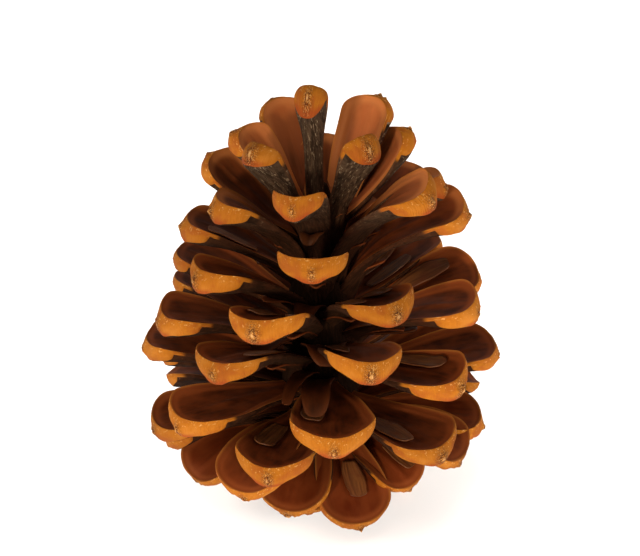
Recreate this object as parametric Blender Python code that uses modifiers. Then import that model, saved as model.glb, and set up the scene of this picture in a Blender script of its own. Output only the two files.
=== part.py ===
"""Stone pine cone, ripe and open, standing on its base.

One solid holds the woody axis and every scale that grows from it. Each papery seed wing that
still lies on a scale is a blade of its own. Lengths are in millimetres until a vertex is made.
The origin is the middle of the stalk scar, on the surface that the cone stands on. Azimuth 0
faces -Y, the front, and grows towards +X.
"""

import math
import random

import bmesh
import bpy
import numpy as np
from mathutils import Vector

MM = 0.001
CONE_NAME = "stone_pine_cone"

# The spiral: ranks count the scales upwards, and rank 0 is a scale at the front.
LOWEST_RANK = -60
HIGHEST_RANK = 16
DIVERGENCE = 136.9
FRONT_AZIMUTH = -3.4
CROWN_TWIST = -22.0
CROWN_TWIST_RANKS = (3, 5)
SEED = 7
AZIMUTH_JITTER = 2.5
HEIGHT_JITTER = 1.2
ROLL_JITTER = 7.0

# How a scale changes on the way up, at these ranks: distances in mm, slope in degrees.
PROFILE_RANKS = (-60, -52, -45, -37, -29, -21, -10, 0, 8, 12, 16)
PROFILE = {
    "tip_radius": (15, 23, 36, 42, 44, 43.5, 40, 33.5, 27, 19, 12),
    "tip_height": (1, 3.5, 12, 19, 27, 37, 56, 74, 87, 94, 100),
    "root_height": (5, 9, 13, 18, 24, 31, 42, 54, 64, 69, 72),
    "width": (11, 15, 18, 18.6, 18.4, 18.4, 17.6, 15.6, 12.8, 12, 9),
    "tip_slope": (-58, -54, -46, -34, 2, 2, 12, 18, 21, 48, 76),
    "end_thickness": (3, 3.6, 4.2, 4.6, 5.2, 5.4, 5.6, 5.7, 5.6, 5.6, 5),
}

# Single scales that stand off the rule: turn in degrees, rise and reach in mm, width ratio, roll
# in degrees, which turns the upper face to the left where it is positive, and pitch of the tip.
NUDGES = {
    -60: (0, 1.5, 0, 1.0, 0, 25),
    -47: (0, 1, 0, 0.82, 10, 0),
    -45: (-14, -1, 1, 1.0, -5, 0),
    -42: (-19, -5, -4, 0.95, 0, -4),
    -37: (4, 0, 2, 0.95, 0, 0),
    -34: (-6, -16, -8, 0.95, 0, -22),
    -32: (-5, 0, 0, 1.0, -4, 6),
    -31: (8, -5, -3, 1.0, 6, 5),
    -29: (-3, 0, 0, 1.0, 0, 3),
    -27: (-6, 3, -3, 1.0, 0, 0),
    -26: (3, -3, 0, 1.0, 6, 0),
    -24: (0, -1, 0, 1.0, -4, 0),
    -23: (3, 2, 0, 1.0, 8, 2),
    -21: (3, -2, 0, 1.05, 0, 3),
    -19: (-2, 0, 0, 1.0, -4, 0),
    -18: (-4, 0, 0, 1.0, 8, 0),
    -16: (-2, 4, 0, 0.95, 4, 2),
    -15: (-7, 8, -2.5, 1.0, 22, 0),
    -13: (0, 1.5, 0, 0.97, -4, 2),
    -11: (2, -1, 0, 1.0, -4, 0),
    -10: (-3, 0.5, 0, 1.0, 12, -2),
    -8: (-3, 1.5, 0, 1.05, 6, 3),
    -7: (12, -4, -1, 1.0, 0, 0),
    -6: (-6, -5, 0, 1.0, -4, 0),
    -5: (-6, -1, 0, 1.0, 8, 0),
    -3: (4, -1, 0, 1.0, -2, 0),
    -2: (-7, 7, 0, 1.0, 24, -7),
    0: (0, 1, 0, 1.0, 0, 1),
    2: (4, -5, 0, 1.0, -4, 0),
    3: (0, 8, 1, 1.0, 26, 0),
    5: (-2, -2, -3, 1.0, -4, -2),
    7: (-5, 10, -7, 1.0, 0, 34),
    8: (-2, 0, 0, 0.9, 0, -1),
    9: (13, 8, -5, 1.1, 0, 32),
    10: (-12, -6, 4, 1.15, -20, 14),
    11: (0, 4, -5, 0.78, 0, 20),
    12: (0, -7, -3, 0.9, 0, 11),
    13: (-5, -1, 1, 0.88, 6, 8),
    14: (22, -6, 5, 1.2, 0, 4),
    15: (30, -6, 5, 1.25, -22, -19),
    16: (-20, 7, -4, 0.82, 0, 8),
}
# Scales whose blade stays narrow up to a knob: the power of the widening, and how far the end
# reaches down the back, in mm.
KNOBS = {11: (5.0, 4.5), 13: (2.0, 2.5), 16: (12.0, 7.5)}

# One scale: a narrow root, a spatulate blade and a thick blunt end with a boss.
ROOT_WIDTH = 6.4
ROOT_WIDTH_RATIO = 0.72
ROOT_THICKNESS = 3.4
BLADE_THICKNESS = 2.2
ROOT_SHARE = 0.4
EDGE_THICKNESS = 1.0
END_UNDERCUT = 0.12
END_ROUNDNESS = 0.78
LONGEST_END = 0.45
CUP_RATIO = 0.22
THICKENING_START = 0.5
WIDENING_POWER = 1.6
CRESCENT_POWER = 0.5
END_SLANT = 0.7
SLANT_POWER = 4
FULL_THICKNESS = 6
BEND_LENGTH_RATIO = 1.03
STEEPEST_ROOT = math.radians(88)
BOSS_HEIGHT = 1.1
BOSS_DROP = 0.62
BOSS_SETBACK_POWER = 1.5
FLOOR_STEP = 0.02
BODY_STATIONS = (0.0, 0.4, 0.75, 1.0)
END_ANGLES = (35, 62, 80)
TOP_ACROSS = (-1.0, -0.5, 0.0, 0.5, 1.0)
BOTTOM_ACROSS = (1.0, 0.0, -1.0)

# The axis, as radius against height, from the stalk scar to the tip of the core.
AXIS_PROFILE = ((0, 6.5), (2, 7), (9, 9), (28, 9.5), (48, 8), (60, 6.5), (71, 4.7), (80, 1.5))
AXIS_SIDES = 16
ROOT_DEPTH = 0.55

# Loose seed wings: the rank of the scale and the side of it that each lies on, and how far out
# along the scale it starts and ends, as shares of the scale's length.
WINGS = (
    (-47, 1, 0.56, 0.86),
    (-41, -1, 0.46, 0.8),
    (-34, 0.3, 0.5, 0.8),
    (-29, -1, 0.42, 0.74),
    (-26, -1, 0.46, 0.84),
    (-21, -1, 0.38, 0.76),
    (-20, -1, 0.42, 0.8),
    (-18, 1, 0.42, 0.82),
    (-16, 1, 0.42, 0.8),
    (-15, 1, 0.44, 0.84),
    (-13, -1, 0.4, 0.72),
    (-12, 1, 0.42, 0.8),
    (-8, -1, 0.42, 0.78),
    (-8, 1, 0.36, 0.68),
    (-5, -1, 0.4, 0.78),
    (-5, 1, 0.36, 0.74),
    (-4, 1, 0.42, 0.78),
    (2, 1, 0.44, 0.84),
    (-7, -1, 0.3, 0.68),
    (-7, 1, 0.36, 0.74),
)
WING_THICKNESS = 0.6
WING_GAP = 0.45
WING_MIDDLE = 0.46
WING_WIDTH = 0.8
WING_TIP_WIDTH = 0.3
WING_ROOT_SHARE = 0.5
WING_LIFT = 0.6
WING_STATIONS = 7
WING_TIP_POWER = 0.7
WING_ROOT_POWER = 0.6
WING_LIFT_POWER = 3

WOOD_COLOUR = (0.24, 0.09, 0.028, 1.0)
WING_COLOUR = (0.2, 0.09, 0.035, 1.0)
WOOD_ROUGHNESS = 0.6
WING_ROUGHNESS = 0.5
SHARP_ANGLE = math.radians(40)


def clear_scene():
    for obj in list(bpy.data.objects):
        bpy.data.objects.remove(obj, do_unlink=True)


def make_material(name, colour, roughness):
    material = bpy.data.materials.new(name)
    material.use_nodes = True
    shader = material.node_tree.nodes["Principled BSDF"]
    shader.inputs["Base Color"].default_value = colour
    shader.inputs["Roughness"].default_value = roughness
    shader.inputs["Metallic"].default_value = 0.0
    material.diffuse_color = colour
    return material


def profile(name, rank):
    return float(np.interp(rank, PROFILE_RANKS, PROFILE[name]))


def crown_twist(rank):
    return float(np.interp(rank, CROWN_TWIST_RANKS, (0.0, CROWN_TWIST)))


def axis_radius(height):
    heights, radii = zip(*AXIS_PROFILE)
    return float(np.interp(height, heights, radii))


def scale_at(rank, dice):
    """The placing of one scale, as a dictionary of plain numbers."""
    turn, rise, reach, ratio, tilt, pitch = NUDGES.get(rank, (0, 0, 0, 1.0, 0, 0))
    widening, slant = KNOBS.get(rank, (WIDENING_POWER, END_SLANT))
    loose = rank not in NUDGES
    azimuth_jitter = dice.uniform(-AZIMUTH_JITTER, AZIMUTH_JITTER)
    height_jitter = dice.uniform(-HEIGHT_JITTER, HEIGHT_JITTER)
    roll = dice.uniform(-ROLL_JITTER, ROLL_JITTER)
    root_height = profile("root_height", rank)
    scale = {
        "azimuth": FRONT_AZIMUTH + DIVERGENCE * rank + crown_twist(rank) + turn,
        "root": (axis_radius(root_height) * ROOT_DEPTH, root_height),
        "tip": [profile("tip_radius", rank) + reach, profile("tip_height", rank) + rise],
        "tip_slope": math.radians(profile("tip_slope", rank) + pitch),
        "half_width": profile("width", rank) * ratio / 2,
        "end_thickness": profile("end_thickness", rank),
        "roll": math.radians(roll if loose else tilt),
        "widening": widening,
        "slant": slant,
        "lowest": FLOOR_STEP * (rank - LOWEST_RANK + 1),
    }
    if loose:
        scale["azimuth"] += azimuth_jitter
        scale["tip"][1] += height_jitter
    run = scale["tip"][0] - scale["root"][0]
    climb = scale["tip"][1] - scale["root"][1]
    chord_slope = math.atan2(climb, run)
    scale["root_slope"] = min(2 * chord_slope - scale["tip_slope"], STEEPEST_ROOT)
    scale["length"] = math.hypot(run, climb) * BEND_LENGTH_RATIO
    longest = LONGEST_END * scale["length"]
    scale["end_length"] = min(END_ROUNDNESS * scale["half_width"], longest)
    return scale


def midline(scale, u):
    """Radius, height and slope of the scale's middle line at u, from 0 at the root to 1."""
    start, end = Vector(scale["root"]), Vector(scale["tip"])
    handle = (end - start).length / 3
    root_slope, tip_slope = scale["root_slope"], scale["tip_slope"]
    first = start + handle * Vector((math.cos(root_slope), math.sin(root_slope)))
    second = end - handle * Vector((math.cos(tip_slope), math.sin(tip_slope)))
    w = 1 - u
    place = w**3 * start + 3 * w * w * u * first + 3 * w * u * u * second + u**3 * end
    heading = w * w * (first - start) + 2 * w * u * (second - first) + u * u * (end - second)
    return place[0], place[1], math.atan2(heading[1], heading[0])


def half_width_at(scale, u):
    """Half the plan width: a blade that widens smoothly, closed by half an ellipse."""
    end = scale["end_length"] / scale["length"]
    if u > 1 - end:
        return scale["half_width"] * math.sqrt(max(0.0, 1 - ((u - 1 + end) / end) ** 2))
    growth = math.sin(math.pi / 2 * u / (1 - end)) ** scale["widening"]
    root = min(ROOT_WIDTH / 2, ROOT_WIDTH_RATIO * scale["half_width"])
    return root + (scale["half_width"] - root) * growth


def end_share(scale, u):
    """0 along the sides of the blade, growing to 1 at the very end."""
    end = scale["end_length"] / scale["length"]
    return min(1.0, max(0.0, (u - 1 + end) / end))


def edge_thickness_at(scale, u):
    """Thickness of the rim: thin along the sides, and a crescent round the end."""
    crescent = end_share(scale, u) ** CRESCENT_POWER
    return EDGE_THICKNESS + (scale["end_thickness"] - EDGE_THICKNESS) * crescent


def middle_thickness_at(scale, u):
    root = ROOT_THICKNESS + (BLADE_THICKNESS - ROOT_THICKNESS) * min(1.0, u / ROOT_SHARE)
    ramp = max(0.0, (u - THICKENING_START) / (1 - THICKENING_START))
    return root + (scale["end_thickness"] - root) * ramp**2


def setback(scale, u):
    """How far the lower face lies behind the upper one, as a share of the length."""
    size = scale["end_thickness"] / FULL_THICKNESS
    return scale["slant"] * size * u**SLANT_POWER / scale["length"]


def place_point(scale, u, across, lift):
    """World point at u along the scale, across mm to its side and lift mm above it."""
    radius, height, slope = midline(scale, u)
    roll = scale["roll"] * u
    sideways = across * math.cos(roll) - lift * math.sin(roll)
    upwards = lift * math.cos(roll) + across * math.sin(roll)
    radius -= upwards * math.sin(slope)
    height += upwards * math.cos(slope)
    azimuth = math.radians(scale["azimuth"])
    x = radius * math.sin(azimuth) + sideways * math.cos(azimuth)
    y = -radius * math.cos(azimuth) + sideways * math.sin(azimuth)
    return Vector((x, y, max(height, scale["lowest"])))


def cup_at(scale, u, across):
    """How far the upper face rises at its sides."""
    return CUP_RATIO * u * across * across / scale["half_width"]


def top_point(scale, u, v, lift=0.0):
    """Point on the upper face, which is a little cupped, at v from -1 to 1 across."""
    across = v * half_width_at(scale, u)
    return place_point(scale, u, across, cup_at(scale, u, across) + lift)


def bottom_point(scale, u, v):
    across = v * half_width_at(scale, u)
    edge = edge_thickness_at(scale, u)
    middle = middle_thickness_at(scale, u)
    lift = cup_at(scale, u, across) - edge - (middle - edge) * (1 - v * v)
    inset = 1 - END_UNDERCUT * end_share(scale, u)
    return place_point(scale, u - setback(scale, u), across * inset, lift)


def loft(name, rings, tip=None):
    """A closed mesh through rings of points. The last ring ends in a point or a flat cap."""
    mesh = bpy.data.meshes.new(name)
    work = bmesh.new()
    rows = [[work.verts.new(point * MM) for point in ring] for ring in rings]
    count = len(rows[0])
    for lower, upper in zip(rows, rows[1:]):
        for i in range(count):
            j = (i + 1) % count
            work.faces.new((lower[i], lower[j], upper[j], upper[i]))
    work.faces.new(rows[0])
    if tip is None:
        work.faces.new(rows[-1])
    else:
        apex = work.verts.new(tip * MM)
        for i in range(count):
            work.faces.new((rows[-1][i], rows[-1][(i + 1) % count], apex))
    bmesh.ops.triangulate(work, faces=work.faces)
    bmesh.ops.recalc_face_normals(work, faces=work.faces)
    work.to_mesh(mesh)
    work.free()
    return bpy.data.objects.new(name, mesh)


def stations_of(scale):
    end = scale["end_length"] / scale["length"]
    body = [fraction * (1 - end) for fraction in BODY_STATIONS]
    return body + [1 - end + end * math.sin(math.radians(angle)) for angle in END_ANGLES]


def make_scale(scale, name):
    rings = []
    for u in stations_of(scale):
        ring = [top_point(scale, u, v) for v in TOP_ACROSS]
        ring += [bottom_point(scale, u, v) for v in BOTTOM_ACROSS]
        rings.append(ring)
    slope = midline(scale, 1.0)[2]
    boss_u = 1 - setback(scale, 1.0) * BOSS_DROP**BOSS_SETBACK_POWER
    boss = place_point(scale, boss_u, 0.0, -BOSS_DROP * scale["end_thickness"])
    azimuth = math.radians(scale["azimuth"])
    outward = Vector((math.sin(azimuth), -math.cos(azimuth), 0)) * math.cos(slope)
    outward.z = math.sin(slope)
    boss += outward * BOSS_HEIGHT
    boss.z = max(boss.z, scale["lowest"])
    return loft(name, rings, boss)


def make_axis():
    """The woody core, turned about Z, flat at the stalk scar."""
    mesh = bpy.data.meshes.new("axis_profile")
    work = bmesh.new()
    outline = [(0.0, AXIS_PROFILE[-1][0])]
    outline += [(radius, height) for height, radius in reversed(AXIS_PROFILE)]
    outline.append((0.0, 0.0))
    points = [work.verts.new((radius * MM, 0, height * MM)) for radius, height in outline]
    for first, second in zip(points, points[1:]):
        work.edges.new((first, second))
    work.to_mesh(mesh)
    work.free()
    axis = bpy.data.objects.new("axis", mesh)
    screw = axis.modifiers.new("Turn", "SCREW")
    screw.steps = AXIS_SIDES
    screw.render_steps = AXIS_SIDES
    screw.use_merge_vertices = True
    screw.merge_threshold = 0.00001
    screw.use_normal_calculate = True
    return axis


def join_solids(axis, scales, name):
    """One body from the axis and the scales, less any scrap or sealed hollow."""
    union = axis.modifiers.new("Join", "BOOLEAN")
    union.operation = "UNION"
    union.operand_type = "COLLECTION"
    union.collection = scales
    union.solver = "MANIFOLD"
    bpy.context.view_layer.update()
    graph = bpy.context.evaluated_depsgraph_get()
    mesh = bpy.data.meshes.new_from_object(axis.evaluated_get(graph))
    mesh.name = name
    keep_largest_body(mesh)
    return bpy.data.objects.new(name, mesh)


def keep_largest_body(mesh):
    work = bmesh.new()
    work.from_mesh(mesh)
    unseen = set(work.verts)
    bodies = []
    while unseen:
        front = [unseen.pop()]
        body = set(front)
        while front:
            vertex = front.pop()
            near = {edge.other_vert(vertex) for edge in vertex.link_edges} & unseen
            unseen -= near
            body |= near
            front.extend(near)
        bodies.append(body)
    largest = max(bodies, key=len)
    spare = [vertex for body in bodies if body is not largest for vertex in body]
    bmesh.ops.delete(work, geom=spare, context="VERTS")
    work.to_mesh(mesh)
    work.free()


def faceted_top(scale, u, v, lift):
    """Point over the facets of the upper face, between its stations and lines."""
    stations = stations_of(scale)
    row = max(i for i, station in enumerate(stations[:-1]) if station <= u)
    column = max(i for i, line in enumerate(TOP_ACROSS[:-1]) if line <= v)
    share = (u - stations[row]) / (stations[row + 1] - stations[row])
    slide = (v - TOP_ACROSS[column]) / (TOP_ACROSS[column + 1] - TOP_ACROSS[column])
    ends = []
    for station in stations[row : row + 2]:
        near = top_point(scale, station, TOP_ACROSS[column], lift)
        far = top_point(scale, station, TOP_ACROSS[column + 1], lift)
        ends.append(near.lerp(far, slide))
    return ends[0].lerp(ends[1], share)


def make_wing(scale, side, start, end, name):
    """A papery blade on one half of a scale's upper face, rounded at its outer end."""
    rings = []
    for step in range(WING_STATIONS):
        turn = math.pi / 2 * step / (WING_STATIONS - 1)
        u = start + (end - start) * math.sin(turn)
        spread = WING_TIP_WIDTH + (WING_WIDTH - WING_TIP_WIDTH) * math.cos(turn) ** WING_TIP_POWER
        spread *= WING_ROOT_SHARE + (1 - WING_ROOT_SHARE) * math.sin(turn) ** WING_ROOT_POWER
        lift = WING_GAP + WING_LIFT * math.sin(turn) ** WING_LIFT_POWER
        across = [side * WING_MIDDLE + spread * half for half in (-0.5, 0.0, 0.5)]
        ring = [faceted_top(scale, u, v, lift + WING_THICKNESS) for v in across]
        ring += [faceted_top(scale, u, v, lift) for v in reversed(across)]
        rings.append(ring)
    return loft(name, rings)


def shade_smooth(obj, material):
    """Smooth over the soft facets, sharp where a face meets its rim, in one material."""
    obj.data.shade_smooth()
    obj.data.set_sharp_from_angle(angle=SHARP_ANGLE)
    obj.data.materials.clear()
    obj.data.materials.append(material)


def main():
    clear_scene()
    collection = bpy.data.collections.new(CONE_NAME)
    bpy.context.scene.collection.children.link(collection)
    scale_collection = bpy.data.collections.new("scales_to_join")
    bpy.context.scene.collection.children.link(scale_collection)
    wood = make_material("cone_wood", WOOD_COLOUR, WOOD_ROUGHNESS)
    paper = make_material("wing_paper", WING_COLOUR, WING_ROUGHNESS)

    dice = random.Random(SEED)
    scales = {rank: scale_at(rank, dice) for rank in range(LOWEST_RANK, HIGHEST_RANK + 1)}
    for rank, scale in scales.items():
        scale_collection.objects.link(make_scale(scale, f"scale_{rank}"))
    axis = make_axis()
    bpy.context.scene.collection.objects.link(axis)
    cone = join_solids(axis, scale_collection, "pine_cone")
    shade_smooth(cone, wood)
    collection.objects.link(cone)
    for obj in [axis, *scale_collection.objects]:
        bpy.data.objects.remove(obj, do_unlink=True)
    bpy.data.collections.remove(scale_collection)

    for number, (rank, side, start, end) in enumerate(WINGS, 1):
        wing = make_wing(scales[rank], side, start, end, f"seed_wing_{number:02d}")
        shade_smooth(wing, paper)
        collection.objects.link(wing)


main()
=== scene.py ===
"""Looks of a ripe, open stone pine cone: fine scales, seed wings, bracts, materials and studio.

Every scale follows the same spiral rule as the solids it replaces. Shapes are worked out in
millimetres and become metres when a mesh is made. Azimuth 0 faces -Y, the front.
"""

import math
import random

import bpy
import numpy as np
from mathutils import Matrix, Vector


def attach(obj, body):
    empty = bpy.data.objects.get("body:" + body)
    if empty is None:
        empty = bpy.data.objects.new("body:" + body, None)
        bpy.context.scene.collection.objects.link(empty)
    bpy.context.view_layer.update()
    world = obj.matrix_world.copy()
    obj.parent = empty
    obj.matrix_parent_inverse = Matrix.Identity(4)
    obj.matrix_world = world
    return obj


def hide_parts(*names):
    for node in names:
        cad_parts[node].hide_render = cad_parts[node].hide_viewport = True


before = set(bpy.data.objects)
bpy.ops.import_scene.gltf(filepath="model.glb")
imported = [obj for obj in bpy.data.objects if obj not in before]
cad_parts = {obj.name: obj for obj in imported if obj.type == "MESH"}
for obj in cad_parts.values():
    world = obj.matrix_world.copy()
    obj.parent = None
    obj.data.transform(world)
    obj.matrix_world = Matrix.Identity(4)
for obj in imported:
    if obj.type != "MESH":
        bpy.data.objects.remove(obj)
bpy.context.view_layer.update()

MM = 0.001

# The spiral: ranks count the scales upwards, and rank 0 is a scale at the front. Each group of
# ranks is one piece.
LOWEST_RANK = -60
HIGHEST_RANK = 16
SCALE_GROUPS = ((-60, -41), (-40, -21), (-20, -2), (-1, 16))
DIVERGENCE = 136.9
FRONT_AZIMUTH = -3.4
CROWN_TWIST = -22.0
CROWN_TWIST_RANKS = (3, 5)
SEED = 7
AZIMUTH_JITTER = 2.5
HEIGHT_JITTER = 1.2
ROLL_JITTER = 7.0

# How a scale changes on the way up, at these ranks: distances in mm, slope in degrees.
PROFILE_RANKS = (-60, -52, -45, -37, -29, -21, -10, 0, 8, 12, 16)
PROFILE = {
    "tip_radius": (15, 23, 36, 42, 44, 43.5, 40, 33.5, 27, 19, 12),
    "tip_height": (1, 3.5, 12, 19, 27, 37, 56, 74, 87, 94, 100),
    "root_height": (5, 9, 13, 18, 24, 31, 42, 54, 64, 69, 72),
    "width": (11, 15, 18, 18.6, 18.4, 18.4, 17.6, 15.6, 12.8, 12, 9),
    "tip_slope": (-58, -54, -46, -34, 2, 2, 12, 18, 21, 48, 76),
    "end_thickness": (3, 3.6, 4.2, 4.6, 5.2, 5.4, 5.6, 5.7, 5.6, 5.6, 5),
}

# Single scales that stand off the rule: turn in degrees, rise and reach in mm, width ratio, roll
# in degrees, which turns the upper face to the left where it is positive, and pitch of the tip.
NUDGES = {
    -60: (0, 1.5, 0, 1.0, 0, 25),
    -47: (0, 1, 0, 0.82, 10, 0),
    -45: (-14, -1, 1, 1.0, -5, 0),
    -42: (-19, -5, -4, 0.95, 0, -4),
    -37: (4, 0, 2, 0.95, 0, 0),
    -34: (-6, -16, -8, 0.95, 0, -22),
    -32: (-5, 0, 0, 1.0, -4, 6),
    -31: (8, -5, -3, 1.0, 6, 5),
    -29: (-3, 0, 0, 1.0, 0, 3),
    -27: (-6, 3, -3, 1.0, 0, 0),
    -26: (3, -3, 0, 1.0, 6, 0),
    -24: (0, -1, 0, 1.0, -4, 0),
    -23: (3, 2, 0, 1.0, 8, 2),
    -21: (3, -2, 0, 1.05, 0, 3),
    -19: (-2, 0, 0, 1.0, -4, 0),
    -18: (-4, 0, 0, 1.0, 8, 0),
    -16: (-2, 4, 0, 0.95, 4, 2),
    -15: (-7, 8, -2.5, 1.0, 22, 0),
    -13: (0, 1.5, 0, 0.97, -4, 2),
    -11: (2, -1, 0, 1.0, -4, 0),
    -10: (-3, 0.5, 0, 1.0, 12, -2),
    -8: (-3, 1.5, 0, 1.05, 6, 3),
    -7: (12, -4, -1, 1.0, 0, 0),
    -6: (-6, -5, 0, 1.0, -4, 0),
    -5: (-6, -1, 0, 1.0, 8, 0),
    -3: (4, -1, 0, 1.0, -2, 0),
    -2: (-7, 7, 0, 1.0, 24, -7),
    0: (0, 1, 0, 1.0, 0, 1),
    2: (4, -5, 0, 1.0, -4, 0),
    3: (0, 8, 1, 1.0, 26, 0),
    5: (-2, -2, -3, 1.0, -4, -2),
    7: (-5, 10, -7, 1.0, 0, 34),
    8: (-2, 0, 0, 0.9, 0, -1),
    9: (13, 8, -5, 1.1, 0, 32),
    10: (-12, -6, 4, 1.15, -20, 14),
    11: (0, 4, -5, 0.78, 0, 20),
    12: (0, -7, -3, 0.9, 0, 11),
    13: (-5, -1, 1, 0.88, 6, 8),
    14: (22, -6, 5, 1.2, 0, 4),
    15: (30, -6, 5, 1.25, -22, -19),
    16: (-20, 7, -4, 0.82, 0, 8),
}
# Scales whose blade stays narrow up to a knob: the power of the widening, and how far the end
# reaches down the back, in mm. The topmost one's stalk is narrower still, by this ratio.
KNOBS = {11: (5.0, 4.5), 13: (2.0, 2.5), 16: (12.0, 7.5)}
STALK_RATIOS = {16: 0.74}

# One scale: a narrow root, a spatulate blade and a thick blunt end with a boss.
ROOT_WIDTH = 6.4
ROOT_WIDTH_RATIO = 0.72
ROOT_THICKNESS = 3.4
BLADE_THICKNESS = 2.2
EDGE_THICKNESS = 1.0
END_UNDERCUT = 0.12
END_ROUNDNESS = 0.78
LONGEST_END = 0.45
CUP_RATIO = 0.22
THICKENING_START = 0.5
WIDENING_POWER = 1.6
CRESCENT_POWER = 0.38
BEND_LENGTH_RATIO = 1.03
STEEPEST_ROOT = math.radians(88)
ROOT_DEPTH = 0.55
AXIS_PROFILE = ((0, 6.5), (2, 7), (9, 9), (28, 9.5), (48, 8), (60, 6.5), (71, 4.7), (80, 1.5))

# The fine relief of a scale, in mm.
ROWS = 26
COLUMNS = 53
END_ROWS = 13
SIDE_BULGE = 0.25
END_BULGE = 0.7
END_SLANT = 0.7
FULL_THICKNESS = 6
LIP_SHARE = 0.87
LUMP_HALF_WIDTH = 4.0
BOSS_DROP = 0.62
BOSS_HEIGHT = 0.3
BOSS_RADIUS = 2.1
POINT_HEIGHT = 0.3
POINT_RADIUS = 0.55
UMBO_STRETCH = 1.7
UMBO_SHIFT = 0.8
UMBO_DROP_SHIFT = 0.07
UMBO_SIZE_SPREAD = 0.3
ROOT_RUN = 0.4
RIM_POWER = 4
BULGE_POWER = 0.8
SLANT_POWER = 1.5
LUMP_POWER = 4
LUMP_RUN = (0.8, 1.0)
RIM_LIP = 0.28
RIM_LIP_WIDTH = 1.1
RIM_LIP_RUN = (0.3, 0.7)
IMPRINT_DEPTH = 0.35
IMPRINT_EDGE = (1.6, 2.6)
IMPRINT_END = (0.97, 0.8)
IMPRINT_START = (0.1, 0.3)
IMPRINT_RIDGE = 0.8
IMPRINT_RIDGE_WIDTH = 0.9
KEEL_DEPTH = 0.8
KEEL_WIDTH = 1.3
KEEL_RUN = (0.97, 0.7)
RIDGE_HEIGHT = 0.25
RIDGE_WIDTH = 0.5
RIDGE_RISE = (0.3, 0.55)
RIDGE_FALL = (1.0, 0.85)
FOLD_HEIGHT = 0.14
FOLD_DROP = 0.08
FOLD_WIDTH = 0.1
SIDEWAYS_SHARE = 0.5
LOWEST_POINT = 0.03

# Uneven surfaces: how far they go in mm, the width and length of a patch, and where they set in.
WARP = 0.45
WARP_CELL = (7, 9)
WARP_RUN = (0.1, 0.5)
WAVER = 0.1
WAVER_CELL = (1.6, 6)
FIBRE_DEPTH = 0.28
FIBRE_CELL = (0.7, 7)
FIBRE_RUN = (1, 0.9)
FINE_FIBRE_SHARE = 0.6
FINE_FIBRE_CELL = (0.45, 2.5)
ROUGHNESS = 0.1
ROUGHNESS_NEAR_BOSS = 0.28
NEAR_BOSS = (4, 1)
ROUGH_CELL = (0.9, 0.9)
ROUGH_RUN = (0.15, 0.5)
FINE_ROUGH_SHARE = 0.7
FINE_ROUGH_CELL = (0.45, 0.45)
GROOVE_DEPTH = 0.06
GROOVES = 12
GROOVE_WAVER = 1.5
# Waves in the outline of an end: their size as a share of it, how many to the radian, and where
# in the noise they lie.
RIPPLE = 0.035
RIPPLES = ((RIPPLE, 2.2, 5, 3.5), (0.4 * RIPPLE, 7, 0, 9.5))

# Seeds that keep the noise of one feature apart from that of another.
WAVER_SEED = 31
FIBRE_SEED = 200
ROUGH_SEED = 400
GROOVE_SEED = 402
UMBO_SEED = 77
WING_SEED = 50
BRACT_SEED = 11
AXIS_SEED = 5

# What the sides of a blade count as, and a distance that is out of reach of any rim or boss.
SIDE_UPPER = 0.3
SIDE_ENDED_RUN = (0.85, 1.0)
FAR_AWAY = 9.0

# Painted light: the scales on one side of the cone are painted paler, as if more light fell there.
PAINTED_LIGHT_SIDE_AZIMUTH = 100
PAINTED_LIGHT_SIDE_TONE = 1.3

# Loose seed wings: the rank of the scale and the side of it that each lies on, and how far out
# along the scale it starts and ends, as shares of the scale's length.
WINGS = (
    (-47, 1, 0.56, 0.86), (-41, -1, 0.46, 0.8), (-34, 0.3, 0.5, 0.8),
    (-29, -1, 0.42, 0.74), (-26, -1, 0.46, 0.84), (-21, -1, 0.38, 0.76),
    (-20, -1, 0.42, 0.8), (-18, 1, 0.42, 0.82), (-16, 1, 0.42, 0.8),
    (-15, 1, 0.44, 0.84), (-13, -1, 0.4, 0.72), (-12, 1, 0.42, 0.8),
    (-8, -1, 0.42, 0.78), (-8, 1, 0.36, 0.68), (-5, -1, 0.4, 0.78),
    (-5, 1, 0.36, 0.74), (-4, 1, 0.42, 0.78), (2, 1, 0.44, 0.84),
    (-7, -1, 0.3, 0.68), (-7, 1, 0.36, 0.74),
)
WING_ROWS = 26
WING_COLUMNS = 13
WING_THICKNESS = 0.3
WING_GAP = 0.35
WING_MIDDLE = 0.46
WING_WIDTH = 0.8
WING_TIP_WIDTH = 0.12
WING_TIP_POWER = 0.7
WING_ROOT_SHARE = 0.5
WING_ROOT_POWER = 0.6
WING_LIFT = 0.4
WING_RAGGED = 0.16
WING_RAGS = 4
WING_WARP = 0.25
WING_WARP_CELL = (2.5, 4)

# Bracts: a short tongue under each scale, then single larger ones in the gaps at the front, as
# azimuth and root height, radius, height and slope of the tip, and width.
LOWEST_BRACT_RANK = -48
BRACT_REACH = 0.42
BRACT_WIDTH = 5
BRACT_THICKNESS = 0.45
# Painted shade: the bracts are darkened to the shade they sit in between the scales.
BRACT_PAINTED_SHADE_TONE = -1.1
BRACT_EDGE = 1.0
BRACT_RISE = math.radians(20)
BRACT_DROOP = math.radians(28)
BRACT_TURN = 4
BRACT_ROLL = 8
BRACT_ROOT_DROP = 2.6
BRACT_TIP_DROP = 4.4
BRACT_REACH_SPREAD = 2
BRACT_BASE = 0.02
BRACT_TIP_WIDTH = 0.05
BRACT_TIP_POWER = 0.55
BRACT_RAGGED = 0.18
BRACT_RAGS = (2.5, 3)
BRACT_CURL = 0.22
BRACT_WARP = 0.3
BRACT_WARP_CELL = (1.5, 3)
BRACT_UNDERSIDE = 0.4
BRACT_ROWS = 14
BRACT_COLUMNS = 9
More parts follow.
